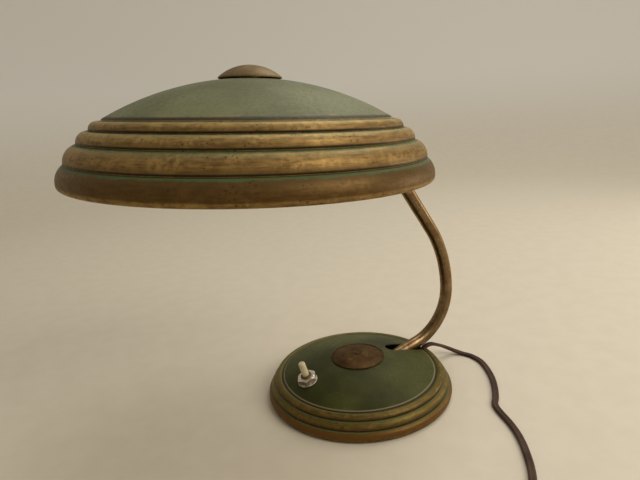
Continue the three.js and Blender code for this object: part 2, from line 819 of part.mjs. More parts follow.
const coilBottom = 0.1;
const coilTop = coilBottom + coilHeight;
const coil = ring(coilMiddle - coilWidth / 2, coilMiddle + coilWidth / 2, coilBottom, coilTop, 40);
piece(lamp, "cord_coil", coil, brownPlastic, [...coilCentre, 0]);

// Two-pin plug, lying on the coil's far side with its pins along +X.
const plug = new THREE.Group();
plug.position.set(coilCentre[0], coilCentre[1] - coilMiddle, coilTop + GAP + plugHeight / 2);
lamp.add(plug);

function plugBody() {
  const half = plugLength / 2;
  const outline = new THREE.Shape();
  outline.moveTo(-half, -4);
  outline.lineTo(-half, 4);
  outline.quadraticCurveTo(-half + 10, 5, 0, plugWidth / 2);
  outline.lineTo(half, plugWidth / 2);
  outline.lineTo(half, -plugWidth / 2);
  outline.lineTo(0, -plugWidth / 2);
  outline.quadraticCurveTo(-half + 10, -5, -half, -4);
  return plate(outline, -plugHeight / 2, plugHeight / 2, 4);
}

const plugPin = () => rod(2, plugLength / 2 + GAP, plugLength / 2 + GAP + 19, 12).rotateY(Math.PI / 2);

piece(plug, "plug_body", plugBody(), bakelite);
piece(plug, "plug_pin_1", plugPin(), brass, [0, -9.5, 0]);
piece(plug, "plug_pin_2", plugPin(), brass, [0, 9.5, 0]);

export default lamp;
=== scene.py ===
"""Metal desk lamp: its smooth surfaces and aged finishes, its cord, a plain table and the camera."""

import json
import math

import bmesh
import bpy
from mathutils import Matrix, Vector

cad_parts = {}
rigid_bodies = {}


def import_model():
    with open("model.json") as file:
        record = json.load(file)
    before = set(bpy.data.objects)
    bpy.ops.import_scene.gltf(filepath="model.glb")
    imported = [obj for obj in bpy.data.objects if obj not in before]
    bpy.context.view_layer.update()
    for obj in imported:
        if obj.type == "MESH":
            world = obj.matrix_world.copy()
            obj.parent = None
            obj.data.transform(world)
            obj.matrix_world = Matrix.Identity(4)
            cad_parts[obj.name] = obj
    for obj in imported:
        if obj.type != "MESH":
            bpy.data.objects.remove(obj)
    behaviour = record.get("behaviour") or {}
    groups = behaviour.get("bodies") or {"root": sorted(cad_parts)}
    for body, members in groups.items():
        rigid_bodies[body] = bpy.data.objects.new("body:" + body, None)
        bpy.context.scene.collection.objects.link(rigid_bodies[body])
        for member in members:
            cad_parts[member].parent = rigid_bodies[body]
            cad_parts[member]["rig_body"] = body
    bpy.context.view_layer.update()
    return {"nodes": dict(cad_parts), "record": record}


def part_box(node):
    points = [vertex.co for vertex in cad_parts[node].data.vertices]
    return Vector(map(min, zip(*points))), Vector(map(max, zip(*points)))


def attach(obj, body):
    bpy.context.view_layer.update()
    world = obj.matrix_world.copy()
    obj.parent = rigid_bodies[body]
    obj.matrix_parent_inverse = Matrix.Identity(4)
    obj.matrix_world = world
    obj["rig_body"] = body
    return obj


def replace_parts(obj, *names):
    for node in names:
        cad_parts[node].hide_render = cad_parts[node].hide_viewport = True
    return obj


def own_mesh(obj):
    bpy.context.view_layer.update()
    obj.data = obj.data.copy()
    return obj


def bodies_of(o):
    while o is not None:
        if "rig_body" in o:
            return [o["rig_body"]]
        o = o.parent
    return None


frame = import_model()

NODES = frame["nodes"]
JOINTS = {joint["name"]: joint for joint in frame["record"]["behaviour"]["joints"]}
MM = 0.001

# ---- driving dimensions, in millimetres --------------------------------------

# Stepped outsides of the base and the shade, as (radius, height): a dome and the starts of its beads.
# Each bead ends this groove's width further out than the next one starts, and higher by a lift.
GROOVE_WIDTH = 0.4
BASE_DOME_TOP = 33.8
BASE_EDGE = (76.2, 19.9)
BASE_BEADS = [(76.2, 19.9), (82.3, 16.3), (86.4, 9.3)]
BASE_WIDEST = (90, 4.5)
BASE_LIFT = 0.6
SHADE_DOME_TOP = 71.2
SHADE_EDGE = (109.6, 42)
SHADE_BEADS = [(110.3, 39.9), (118.5, 33.9), (127.4, 25.2), (137.1, 12)]
SHADE_WIDEST = (143.8, 0)
SHADE_LIFT = 0.8
HEM_RADIUS = 2.6
HEM_DROP = 1.4

# The arm's slot and the switch's hole in the base.
SLOT_ENDS = (34.6, 86.4)
SLOT_HALF_WIDTH = 8
SLOT_MIDDLE = 1.2
BUTTON_HOLE_RADIUS = 5.4
SHELL_BORE = 7.5

# The arm from its hinge, as (straight length,) or (bend radius, degrees), and its rise where it starts.
ARM_RISE = 14
ARM_RUN = [(40.3,), (54, 76), (125, 33.4), (46,), (106, 56.6), (15.5,)]
FOOT_LENGTH = 10
TUBE_RADIUS = 6.15
TUBE_BORE_RADIUS = 4.9

CORD_WIDTH = 6
CORD_THICKNESS = 3.2
FLAT = CORD_THICKNESS / 2 + 0.1  # height of the cord's middle where it lies on the table
COIL_TURNS = 6
COIL_STEPS = 28  # for each turn
CORD_ROUTE = [
    (60.3, -3.4, 10.6), (65, -3.4, 10.8), (70.4, -3.4, 13), (75, -3.4, 17), (79.6, -3.4, 20.4),
    (84.6, -3.3, 21.8), (91, -2.6, 20.8), (99, -1, 16.8), (107, 0.4, 12.4), (115, -0.8, 7.8),
    (122, -4.6, 3.8), (127, -10.4, FLAT), (130.6, -19, FLAT), (130.6, -33, FLAT), (124, -49, FLAT),
    (115.4, -63.6, FLAT), (104.4, -77.6, FLAT), (93, -89.4, FLAT), (84.2, -97, FLAT),
    (79.4, -107, FLAT), (74.6, -122, FLAT), (68.8, -135.4, FLAT), (62.2, -146.6, FLAT),
    (55, -156.6, FLAT), (46.4, -167.4, FLAT), (36.6, -177.4, FLAT), (24, -187.6, FLAT),
    (10, -197.4, FLAT), (-4.6, -208.4, FLAT),
]

# The photographer's place in metres, the camera's lens, and its angles in degrees.
CAMERA_PLACE = (-0.2152, -0.3757, 0.2634)
CAMERA_LENS = 27
CAMERA_HEADING = 26
CAMERA_PITCH = 14.22
CAMERA_ROLL = 4.24


# ---- places, read from the frame ---------------------------------------------

def middle(node):
    """The mean of a CAD node's corners, which is on its axis when it is a turned piece."""
    corners = NODES[node].data.vertices
    return sum((v.co for v in corners), Vector()) / len(corners)


def body_of(node):
    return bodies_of(NODES[node])[0]


def box_mm(node):
    """A CAD node's low and high corners in millimetres."""
    return [Vector(corner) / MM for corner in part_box(node)]


def turned_to(x_axis, y_axis, z_axis):
    """The rotation that takes X, Y and Z to these directions."""
    return Matrix((x_axis, y_axis, z_axis)).transposed().to_4x4()


def upright_frame(low_node, high_node):
    """A matrix whose Z runs up through the middles of two turned CAD nodes, from the lower one."""
    up = (middle(high_node) - middle(low_node)).normalized()
    across = (Vector((1, 0, 0)) - up * up.x).normalized()
    return Matrix.Translation(middle(low_node)) @ turned_to(across, up.cross(across), up)


def reach(node, matrix):
    """Outer radius, bottom and top of a turned CAD node in that frame, in millimetres."""
    inverse = matrix.inverted()
    points = [inverse @ v.co for v in NODES[node].data.vertices]
    heights = [p.z / MM for p in points]
    return max(math.hypot(p.x, p.y) for p in points) / MM, min(heights), max(heights)


def lowered(matrix, node, height):
    """The same frame moved along its own Z until that node's top stands at that height."""
    top = reach(node, matrix)[2]
    return matrix @ Matrix.Translation((0, 0, (top - height) * MM))


LAMP = Matrix.Identity(4)
HINGE = Vector(JOINTS["arm_tilt"]["pos_m"])
KNUCKLE = Vector(JOINTS["shade_tilt"]["pos_m"])
TUBE_END = Vector(JOINTS["shade_swivel"]["pos_m"])
SWITCH = lowered(upright_frame("switch_body", "switch_bushing"), "switch_washer", 1.3)
SHADE = lowered(upright_frame("holder_ring", "cap_spacer"), "shade_shell", SHADE_DOME_TOP)

along_x = Vector((1, 0, 0))
pin_axis = -Vector(JOINTS["shade_tilt"]["axis"]).normalized()
FORK = Matrix.Translation(KNUCKLE) @ turned_to(along_x, pin_axis, along_x.cross(pin_axis))
FACING_X = Matrix.Rotation(math.pi / 2, 4, "Y")  # Z turned to point along X
FACING_FRONT = Matrix.Rotation(math.pi / 2, 4, "X")  # XY turned into XZ, Z pointing along -Y


# ---- camera ------------------------------------------------------------------

def add_camera():
    """Low and near, as the photographer stood, and turned a little about its own line of sight."""
    heading, pitch, roll = (math.radians(a) for a in (CAMERA_HEADING, CAMERA_PITCH, CAMERA_ROLL))
    level = Vector((math.sin(heading), math.cos(heading), 0))
    side = Vector((math.cos(heading), -math.sin(heading), 0))
    ahead = level * math.cos(pitch) - Vector((0, 0, math.sin(pitch)))
    up = side.cross(ahead)
    right = side * math.cos(roll) - up * math.sin(roll)
    turned_up = up * math.cos(roll) + side * math.sin(roll)
    camera = bpy.data.objects.new("camera", bpy.data.cameras.new("camera"))
    camera.matrix_world = Matrix.Translation(CAMERA_PLACE) @ turned_to(right, turned_up, -ahead)
    camera.data.sensor_width = 36
    camera.data.lens = CAMERA_LENS
    camera.data.clip_start = 0.01
    bpy.context.scene.collection.objects.link(camera)
    bpy.context.scene.camera = camera


add_camera()


# ---- outlines, in millimetres ------------------------------------------------

def arc(centre, radius, start, end, steps):
    """Points on an arc, with angles in degrees from the first axis."""
    angles = [math.radians(start + (end - start) * i / steps) for i in range(steps + 1)]
    return [(centre[0] + radius * math.cos(a), centre[1] + radius * math.sin(a)) for a in angles]


def dome(top, edge, start, end, steps):
    """Points over the sphere whose cap rises from edge to top, between two distances from its axis."""
    rise = top - edge[1]
    radius = (edge[0] ** 2 + rise**2) / (2 * rise)
    angles = [90 - math.degrees(math.asin(r / radius)) for r in (start, end)]
    return arc((0, top - radius), radius, *angles, steps)


def bead(start, end, steps):
    """A convex step from one groove down to the next, which ends upright."""
    dr, dz = end[0] - start[0], start[1] - end[1]
    radius = (dr * dr + dz * dz) / (2 * dr)
    centre = (end[0] - radius, end[1])
    return arc(centre, radius, math.degrees(math.atan2(dz, start[0] - centre[0])), 0, steps)


def bead_spans(starts, widest, lift):
    """Where each bead starts and ends."""
    return list(zip(starts, [(r + GROOVE_WIDTH, z + lift) for r, z in starts[1:]] + [widest]))


def lining(starts, widest, lift, wall):
    """The inside of the same beads, from the widest one up."""
    points = []
    for (r, z), (end_r, end_z) in bead_spans(starts, widest, lift):
        points += bead((r - wall / 2, z - wall), (end_r - wall, end_z), 8)
    return points[::-1]


def softened(corners, radius, steps=4):
    """A closed outline with its corners rounded, except those on the axis."""
    points = []
    for i, corner in enumerate(corners):
        here = Vector(corner)
        before = Vector(corners[i - 1]) - here
        after = Vector(corners[(i + 1) % len(corners)]) - here
        cut_back = min(radius, before.length * 0.45, after.length * 0.45)
        if here.x == 0:
            points.append(corner)
            continue
        first, last = here + before.normalized() * cut_back, here + after.normalized() * cut_back
        for t in [k / steps for k in range(steps + 1)]:
            points.append(tuple(first * (1 - t) ** 2 + here * 2 * t * (1 - t) + last * t * t))
    return points


def lever(eye_radius, direction, length, half, steps=24):
    """A round eye about the origin with a straight lever leaving it in a direction in degrees."""
    side = math.degrees(math.asin(half / eye_radius))
    along = Vector((math.cos(math.radians(direction)), math.sin(math.radians(direction))))
    across = Vector((-along.y, along.x))
    ends = [tuple(along * length + across * offset) for offset in (-half, half)]
    return arc((0, 0), eye_radius, direction + side, direction + 360 - side, steps) + ends


# ---- meshes ------------------------------------------------------------------

def lathe(outline, segments=96, tags=None, shape=None, lined_from=None):
    """Turns a closed outline about Z. tags gives each of its points numbers for the materials to read,
    shape(radius, angle) may change a radius, and strips from lined_from on take the second material."""
    bm = bmesh.new()
    tags = dict(tags or {})
    tags["along"] = [0.0]
    for a, b in zip(outline, outline[1:]):
        tags["along"].append(tags["along"][-1] + math.dist(a, b))
    layers = {tag: bm.verts.layers.float.new(tag) for tag in tags}
    rings = []
    for i, (r, z) in enumerate(outline):
        circle = []
        for k in range(segments if r > 0 else 1):
            angle = 2 * math.pi * k / segments
            radius = shape(r, angle) if shape else r
            v = bm.verts.new((radius * math.cos(angle) * MM, radius * math.sin(angle) * MM, z * MM))
            for tag, layer in layers.items():
                v[layer] = tags[tag][i]
            circle.append(v)
        rings.append(circle)
    closed = outline[0][0] > 0 or outline[-1][0] > 0
    for i, (a, b) in enumerate(zip(rings, rings[1:] + rings[:1] if closed else rings[1:])):
        for k in range(segments):
            corners = [a[k % len(a)], a[(k + 1) % len(a)], b[(k + 1) % len(b)], b[k % len(b)]]
            corners = list(dict.fromkeys(corners))
            if len(corners) > 2:
                bm.faces.new(corners).material_index = int(lined_from is not None and i >= lined_from)
    return bm


def ring(inner, outer, bottom, top, soft=0.2, segments=96):
    corners = [(inner, bottom), (outer, bottom), (outer, top), (inner, top)]
    return lathe(softened(corners, soft, 3), segments)


def straight(start, end, steps):
    """Points on a straight line from start to end."""
    return [tuple(Vector(start).lerp(Vector(end), k / steps)) for k in range(steps + 1)]


def nut(flats, bore, bottom, top, chamfer=0.9):
    """Hexagon nut with both faces chamfered to a circle, which scallops its corners."""
    corner = flats / math.sqrt(3) * 0.985
    face = flats / 2 - 0.3
    lower_chamfer = straight((face, bottom), (corner, bottom + chamfer * 0.7), 8)
    upper_chamfer = straight((corner, top - chamfer), (face, top), 8)

    def hexagonal(radius, angle):
        return min(radius, flats / 2 / math.cos(angle % (math.pi / 3) - math.pi / 6))

    outline = [(bore, bottom), *lower_chamfer, *upper_chamfer, (bore, top)]
    return lathe(outline, 96, shape=hexagonal)


def prism(outline, bottom, top):
    """A flat outline extruded up Z."""
    bm = bmesh.new()
    low = [bm.verts.new((x * MM, y * MM, bottom * MM)) for x, y in outline]
    high = [bm.verts.new((x * MM, y * MM, top * MM)) for x, y in outline]
    bm.faces.new(low)
    bm.faces.new(high)
    for k in range(len(low)):
        j = (k + 1) % len(low)
        bm.faces.new((low[k], low[j], high[j], high[k]))
    return bm


def sweep(rings, capped=True):
    """A skin through rings of points, in metres, with flat ends or joined back to its start."""
    bm = bmesh.new()
    along = bm.verts.layers.float.new("along")
    rows, travelled = [], 0
    for i, points in enumerate(rings):
        travelled += (points[0] - rings[i - 1][0]).length / MM if i else 0
        row = [bm.verts.new(p) for p in points]
        for v in row:
            v[along] = travelled
        rows.append(row)
    count = len(rows[0])
    for a, b in zip(rows, rows[1:] if capped else rows[1:] + rows[:1]):
        for k in range(count):
            bm.faces.new((a[k], a[(k + 1) % count], b[(k + 1) % count], b[k]))
    if capped:
        bm.faces.new(rows[0])
        bm.faces.new(rows[-1])
    return bm


def to_object(name, bm, matrix, sharp=32):
    bmesh.ops.recalc_face_normals(bm, faces=bm.faces)
    mesh = bpy.data.meshes.new(name)
    bm.to_mesh(mesh)
    bm.free()
    mesh.shade_smooth()
    mesh.set_sharp_from_angle(angle=math.radians(sharp))
    made = bpy.data.objects.new(name, mesh)
    made.matrix_world = matrix
    bpy.context.scene.collection.objects.link(made)
    return made


def cut_away(piece, cutter):
    """Takes one mesh out of another and throws the cutter away."""
    modifier = piece.modifiers.new("cut", "BOOLEAN")
    modifier.operation = "DIFFERENCE"
    modifier.solver = "EXACT"
    modifier.object = cutter
    bpy.context.view_layer.update()
    graph = bpy.context.evaluated_depsgraph_get()
    result = bpy.data.meshes.new_from_object(piece.evaluated_get(graph), depsgraph=graph)
    piece.modifiers.clear()
    piece.data = result
    bpy.data.objects.remove(cutter)


def add_piece(name, body, bm, look, matrix=LAMP, soft=0, cutters=(), lining_look=None):
    """One finished piece on a body, with its holes cut and its edges rounded by soft millimetres."""
    piece = to_object(name, bm, matrix)
    for i, cutter in enumerate(cutters):
        cut_away(piece, to_object(f"{name}_cutter_{i}", cutter, matrix))
    piece.data.materials.append(look)
    if lining_look:
        piece.data.materials.append(lining_look)
    if soft:
        bevel = piece.modifiers.new("soft_edges", "BEVEL")
        bevel.width = soft * MM
        bevel.segments = 3
        bevel.limit_method = "ANGLE"
        bevel.angle_limit = math.radians(35)
        bevel.harden_normals = True
    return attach(piece, body)


def skin(node, bm, look, matrix=LAMP, **options):
    """A finished piece that stands for one CAD node and rides on the same body."""
    piece = add_piece(f"{node}_skin", body_of(node), bm, look, matrix, **options)
    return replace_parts(piece, node)


# ---- cord --------------------------------------------------------------------

def smooth_step(t):
    t = min(max(t, 0), 1)
    return t * t * (3 - 2 * t)


def between(a, b, share):
    return a + (b - a) * share


def coil_points():
    """Turns wound two wide and three high, then a last part turn that climbs to the plug's tail.

    The first turn draws in from the end of the route and each later one crosses from the last one's
    column and layer to its own, both over a stretch in radians. The climb is in millimetres.
    """
    crossing, drawing_in, climb = 0.9, 0.8, 34
    low, high = box_mm("cord_coil")
    centre = (low + high) / 2
    outer = high.x - centre.x - 0.3 - CORD_WIDTH / 2
    inner = outer - CORD_WIDTH - 0.8
    layer = CORD_THICKNESS + 0.2
    columns = [outer, inner, inner, outer, outer, inner, inner]
    layers = [0, 0, 1, 1, 2, 2, 3]
    tail_low, tail_high = box_mm("plug_body")
    tail = Vector((tail_low.x, (tail_low.y + tail_high.y) / 2, (tail_low.z + tail_high.z) / 2))
    start = Vector(CORD_ROUTE[-1])
    first_angle = math.atan2(start.y - centre.y, start.x - centre.x)
    last_angle = math.atan2(tail.y - centre.y, tail.x - centre.x) % (2 * math.pi)
    start_radius = math.hypot(start.x - centre.x, start.y - centre.y)
    tail_radius = math.hypot(tail.x - centre.x, tail.y - centre.y)
    sweep_total = COIL_TURNS * 2 * math.pi + last_angle - first_angle
    points, steps = [], COIL_TURNS * COIL_STEPS
    for i in range(4, steps + 1):
        turned = sweep_total * i / steps
        turn = min(int(turned / (2 * math.pi)), COIL_TURNS)
        into = turned - turn * 2 * math.pi
        before = max(turn - 1, 0)
        shift = smooth_step(into / crossing)
        radius = between(columns[before], columns[turn], shift)
        height = FLAT + layer * between(layers[before], layers[turn], shift)
        if turn == 0:
            radius += (start_radius - outer) * (1 - smooth_step(into / drawing_in))
        left = (sweep_total - turned) * inner
        rise = 1 - smooth_step(left / climb)
        radius = between(radius, tail_radius, rise)
        height = between(height, tail.z, rise)
        angle = first_angle + turned
        out = Vector((math.cos(angle), math.sin(angle), 0)) * radius
        points.append((centre.x + out.x, centre.y + out.y, height))
    points.append((tail.x + 2, tail.y, tail.z))
    return points


def cord_line(points, steps=3):
    """A Catmull-Rom line through points in millimetres, as points in metres."""
    line = []
    ends = [2 * points[0] - points[1], *points, 2 * points[-1] - points[-2]]
    for a, b, c, d in zip(ends, ends[1:], ends[2:], ends[3:]):
        for t in [k / steps for k in range(steps)]:
            bend = 2 * a - 5 * b + 4 * c - d
            twist = 3 * b - a - 3 * c + d
            line.append((2 * b + (c - a) * t + bend * t * t + twist * t**3) * 0.5 * MM)
    line.append(points[-1] * MM)
    return line


def twin_section():
    """Two round cores side by side in one skin, as (across, up)."""
    radius = CORD_THICKNESS / 2
    offset = CORD_WIDTH / 2 - radius
    return arc((offset, 0), radius, -128, 128, 9) + arc((-offset, 0), radius, 52, 308, 9)


def add_cord(look, with_pieces):
    line = cord_line([Vector(p) for p in CORD_ROUTE + coil_points()])
    rings = []
    for i, place in enumerate(line):
        along = (line[min(i + 1, len(line) - 1)] - line[max(i - 1, 0)]).normalized()
        across = Vector((0, 0, 1)).cross(along).normalized()
        up = along.cross(across)
        rings.append([place + (across * x + up * y) * MM for x, y in twin_section()])
    piece = add_piece("mains_lead", "base", sweep(rings), look)
    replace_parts(piece, "cord", "cord_coil")


# ---- material helpers --------------------------------------------------------

class Look:
    """A material for one slot, and the few kinds of node that this scene uses."""

    def __init__(self, name, slot, roughness=0.5, metallic=0.0):
        self.material = bpy.data.materials.new(name)
        self.material.use_nodes = True
        self.material["slot"] = slot
        self.tree = self.material.node_tree
        self.shader = self.tree.nodes["Principled BSDF"]
        self.set("Roughness", roughness)
        self.set("Metallic", metallic)

    def join(self, socket, value):
        if isinstance(value, bpy.types.NodeSocket):
            self.tree.links.new(value, socket)
        elif socket.type == "RGBA":
            socket.default_value = (*value, 1)
        else:
            socket.default_value = value

    def set(self, name, value):
        self.join(self.shader.inputs[name], value)

    def node(self, kind, inputs=None, **settings):
        node = self.tree.nodes.new(kind)
        for key, value in settings.items():
            setattr(node, key, value)
        for name, value in (inputs or {}).items():
            self.join(node.inputs[name], value)
        return node

    def place(self):
        return self.node("ShaderNodeTexCoord").outputs["Object"]

    def tag(self, name):
        return self.node("ShaderNodeAttribute", attribute_name=name).outputs["Fac"]

    def vector(self, operation, a, b=(0, 0, 0)):
        return self.node("ShaderNodeVectorMath", {0: a, 1: b}, operation=operation).outputs[0]

    def math(self, operation, a, b=0.0):
        return self.node("ShaderNodeMath", {0: a, 1: b}, operation=operation).outputs[0]

    def times(self, a, b):
        return self.math("MULTIPLY", a, b)

    def lengthwise(self, round_scale, along_scale):
        """A place to sample that changes slowly round the axis and fast across the beads."""
        flat = self.vector("MULTIPLY", self.place(), (1, 1, 0))
        around = self.vector("MULTIPLY", self.vector("NORMALIZE", flat), (round_scale,) * 3)
        height = self.node("ShaderNodeCombineXYZ", {"Z": self.times(self.tag("along"), along_scale)})
        return self.vector("ADD", around, height.outputs[0])

    def noise(self, scale, detail=3, roughness=0.55, at=None):
        inputs = {"Vector": at or self.place(), "Scale": scale}
        inputs |= {"Detail": detail, "Roughness": roughness}
        return self.node("ShaderNodeTexNoise", inputs).outputs["Fac"]

    def cells(self, scale):
        inputs = {"Vector": self.place(), "Scale": scale}
        return self.node("ShaderNodeTexVoronoi", inputs).outputs["Distance"]

    def fade(self, value, start, end, low=0.0, high=1.0):
        """Goes smoothly from low to high while value goes from start to end."""
        inputs = {"Value": value, "From Min": start, "From Max": end, "To Min": low, "To Max": high}
        node = self.node("ShaderNodeMapRange", inputs, interpolation_type="SMOOTHSTEP")
        return node.outputs["Result"]

    def specks(self, density, size, clumps):
        """Small spots that gather in clumps."""
        spots = self.fade(self.cells(density), size, size * 0.5)
        return self.times(spots, self.fade(self.noise(clumps, 2), 0.52, 0.62))

    def mix(self, amount, a, b):
        node = self.node("ShaderNodeMix", data_type="RGBA")
        self.join(node.inputs[0], amount)
        self.join(node.inputs[6], a)
        self.join(node.inputs[7], b)
        return node.outputs[2]

    def bump(self, height, strength, distance):
        inputs = {"Height": height, "Strength": strength, "Distance": distance * MM}
        self.set("Normal", self.node("ShaderNodeBump", inputs).outputs["Normal"])


# ---- finishes ----------------------------------------------------------------

WARM = (1.0, 0.86, 0.62)  # old varnish and dust give every painted or bronzed surface a yellow gleam


def scaled(colour, share):
    return [c * share for c in colour]


def dome_paint(look, paint, bronze, grain, chips, edge_wear_and_highlight):
    """Cloudy green paint, chipped in places, with a pale line along the dome's edge that is partly
    paint worn down to bare metal and partly a painted highlight on the rolled edge.
    """
    dark, light = paint
    end = look.tag("end")
    colour = look.mix(look.fade(look.noise(15, 4), 0.34, 0.68), dark, light)
    colour = look.mix(look.fade(grain, 0.48, 0.7, 0, 0.35), colour, scaled(light, 0.6))
    colour = look.mix(look.fade(look.noise(1500, 2), 0.6, 0.7, 0, 0.28), colour, scaled(light, 1.7))
    colour = look.mix(look.times(look.specks(210, 0.14, 30), chips), colour, (0.36, 0.31, 0.2))
    rubbed = look.times(look.fade(end, 2.4, 0.8), look.fade(look.noise(60, 4), 0.48, 0.62))
    colour = look.mix(look.times(rubbed, 0.6 * chips), colour, bronze["middle"])
    # A pale line along the dome's edge: partly paint worn to bare metal, partly a painted highlight on
    # the rolled edge.
    edge = look.times(look.fade(end, 1.3, 1.0), look.fade(end, 0.5, 0.7, 0, edge_wear_and_highlight))
    return look.mix(edge, colour, (0.33, 0.28, 0.16))


def bead_bronze(look, paint, bronze, pits, groove):
    """Streaked bronze with gilt patches, a film of old paint near its top, and darker towards its foot.
    """
    start, end, low = (look.tag(tag) for tag in ("start", "end", "low"))
    streak = look.noise(1, 5, 0.62, look.lengthwise(11, 0.55))
    mottle, blotch = look.noise(240, 4, 0.6), look.noise(55, 4, 0.6)
    colour = look.mix(look.fade(streak, 0.34, 0.6), bronze["dark"], bronze["middle"])
    colour = look.mix(look.fade(mottle, 0.46, 0.66, 0, 0.4), colour, bronze["dark"])
    gilt = look.times(look.fade(blotch, 0.4, 0.66), look.fade(mottle, 0.58, 0.4))
    colour = look.mix(look.times(gilt, 0.7), colour, bronze["gilt"])
    film = look.times(look.fade(start, 11, 1, 0, 0.6), look.fade(streak, 0.68, 0.44))
    colour = look.mix(film, colour, scaled(paint[1], 1.7))
    colour = look.mix(look.times(low, 0.85), colour, bronze["lowest"])
    # Each bead gets darker towards its foot.
    darker_foot = look.fade(end, 2.4 * groove, groove, 0, 0.55)
    colour = look.mix(darker_foot, colour, scaled(bronze["dark"], 0.7))
    return look.mix(look.times(pits, 0.7), colour, scaled(bronze["dark"], 0.25))


def stepped_finish(name, paint, bronze, groove_paint, groove, chips, edge_wear_and_highlight):
    """Matt green paint on a dome, and bronzed beads that keep green paint in their grooves, with a dark
    line of painted shadow and dirt in each groove.

    paint is (dark, light). groove is how many millimetres of paint, and of painted shadow and
    darkening, each groove keeps, chips from 0 to 1 how much of the dome's paint is chipped, and
    edge_wear_and_highlight the same for the pale line along its edge, which is partly worn bare metal
    and partly painted highlight.
    The tags that the mesh brings are those that stepped_outside describes.
    """
    look = Look(name, "green_paint")
    band, start, end = (look.tag(tag) for tag in ("band", "start", "end"))
    grain, pits = look.noise(420, 3, 0.6), look.specks(330, 0.3, 60)

    ragged = look.fade(look.noise(230, 3), 0.3, 0.7, -0.35 * groove, 0.35 * groove)
    paint_edge = look.math("ADD", start, ragged)
    kept_paint = look.times(band, look.fade(paint_edge, groove * 1.5, groove * 0.7))
    # The dark line in each groove, at the crease where a bead starts and along the foot of the bead or
    # dome above it, is painted shadow under the overhang, mixed with dirt.
    crease = look.times(band, look.fade(start, 0.4, 0.1))
    shadow_and_dirt_line = look.math("MAXIMUM", crease, look.fade(end, groove * 0.8, groove * 0.25))
    bare = look.math("SUBTRACT", band, kept_paint)

    painted = dome_paint(look, paint, bronze, grain, chips, edge_wear_and_highlight)
    colour = look.mix(band, painted, bead_bronze(look, paint, bronze, pits, groove))
    colour = look.mix(kept_paint, colour, groove_paint)
    look.set("Base Color", look.mix(shadow_and_dirt_line, colour, (0.02, 0.016, 0.008)))
    look.set("Metallic", look.times(bare, 0.45))
    uneven = look.fade(grain, 0.3, 0.7, -0.05, 0.09)
    look.set("Roughness", look.math("ADD", look.fade(bare, 0, 1, 0.52, 0.42), uneven))
    look.set("Specular IOR Level", 0.25)
    look.set("Specular Tint", WARM)
    look.bump(look.math("SUBTRACT", look.times(grain, 0.6), pits), 0.3, 0.12)
    return look.material


def aged_metal(name, slot, dark, mid, light, roughness, metallic, scale):
    """Lacquered brass or bronze with cloudy tarnish, rubbed spots and fine pits."""
    look = Look(name, slot, metallic=metallic)
    cloud, rubbed = look.noise(scale, 5, 0.62), look.noise(scale * 2.6, 4, 0.6)
    pits = look.specks(scale * 9, 0.22, scale * 1.5)
    colour = look.mix(look.fade(cloud, 0.34, 0.62), dark, mid)
    colour = look.mix(look.fade(rubbed, 0.52, 0.7, 0, 0.8), colour, light)
    look.set("Base Color", look.mix(pits, colour, scaled(dark, 0.35)))
    look.set("Roughness", look.fade(cloud, 0.3, 0.7, roughness + 0.1, roughness - 0.06))
    look.set("Specular IOR Level", 0.25)
    look.set("Specular Tint", WARM)
    look.bump(look.math("SUBTRACT", look.noise(scale * 16, 2), pits), 0.2, 0.06)
    return look.material


def bright_metal(name, slot, colour, tarnish, roughness=0.28, scale=160):
    """Turned or plated metal with dull patches and fine scratches."""
    look = Look(name, slot, metallic=1.0)
    patch = look.noise(scale, 4, 0.65)
    scratch = look.noise(1, 4, 0.7, look.vector("MULTIPLY", look.place(), (300, 300, 3200)))
    look.set("Base Color", look.mix(look.fade(patch, 0.4, 0.66), colour, tarnish))
    look.set("Roughness", look.fade(patch, 0.35, 0.7, roughness, roughness + 0.26))
    look.bump(scratch, 0.12, 0.03)
    return look.material


def moulded(name, slot, dark, light, roughness, scale, coat=0.0, shine=0.5):
    """Moulded plastic, rubber or glaze with faint mottling and handling marks."""
    look = Look(name, slot)
    mottle, grime = look.noise(scale, 4, 0.6), look.noise(scale * 5, 3)
    colour = look.mix(look.fade(mottle, 0.35, 0.65), dark, light)
    look.set("Base Color", look.mix(look.fade(grime, 0.56, 0.74, 0, 0.35), colour, scaled(dark, 0.6)))
    look.set("Roughness", look.fade(grime, 0.3, 0.7, roughness, roughness + 0.16))
    look.set("Coat Weight", coat)
    look.set("Specular IOR Level", shine)
    look.bump(look.noise(scale * 14, 2), 0.12, 0.04)
    return look.material


def felt_finish():
    look = Look("green_felt", "felt", roughness=0.95)
    fibre = look.noise(1, 5, 0.7, look.vector("MULTIPLY", look.place(), (1400, 1400, 500)))
    tuft = look.noise(260, 4, 0.65)
    colour = look.mix(look.fade(tuft, 0.3, 0.7), (0.02, 0.035, 0.02), (0.05, 0.075, 0.04))
    look.set("Base Color", colour)
    look.set("Sheen Weight", 0.4)
    look.bump(look.math("ADD", fibre, tuft), 0.6, 0.35)
    return look.material


def cast_finish():
    look = Look("cast_iron", "cast_iron", metallic=0.5)
    grit = look.noise(520, 4, 0.7)
    colour = look.mix(look.fade(grit, 0.35, 0.7), (0.03, 0.028, 0.026), (0.09, 0.07, 0.055))
    look.set("Base Color", colour)
    look.set("Roughness", look.fade(grit, 0.3, 0.7, 0.6, 0.85))
    look.bump(grit, 0.6, 0.3)
    return look.material


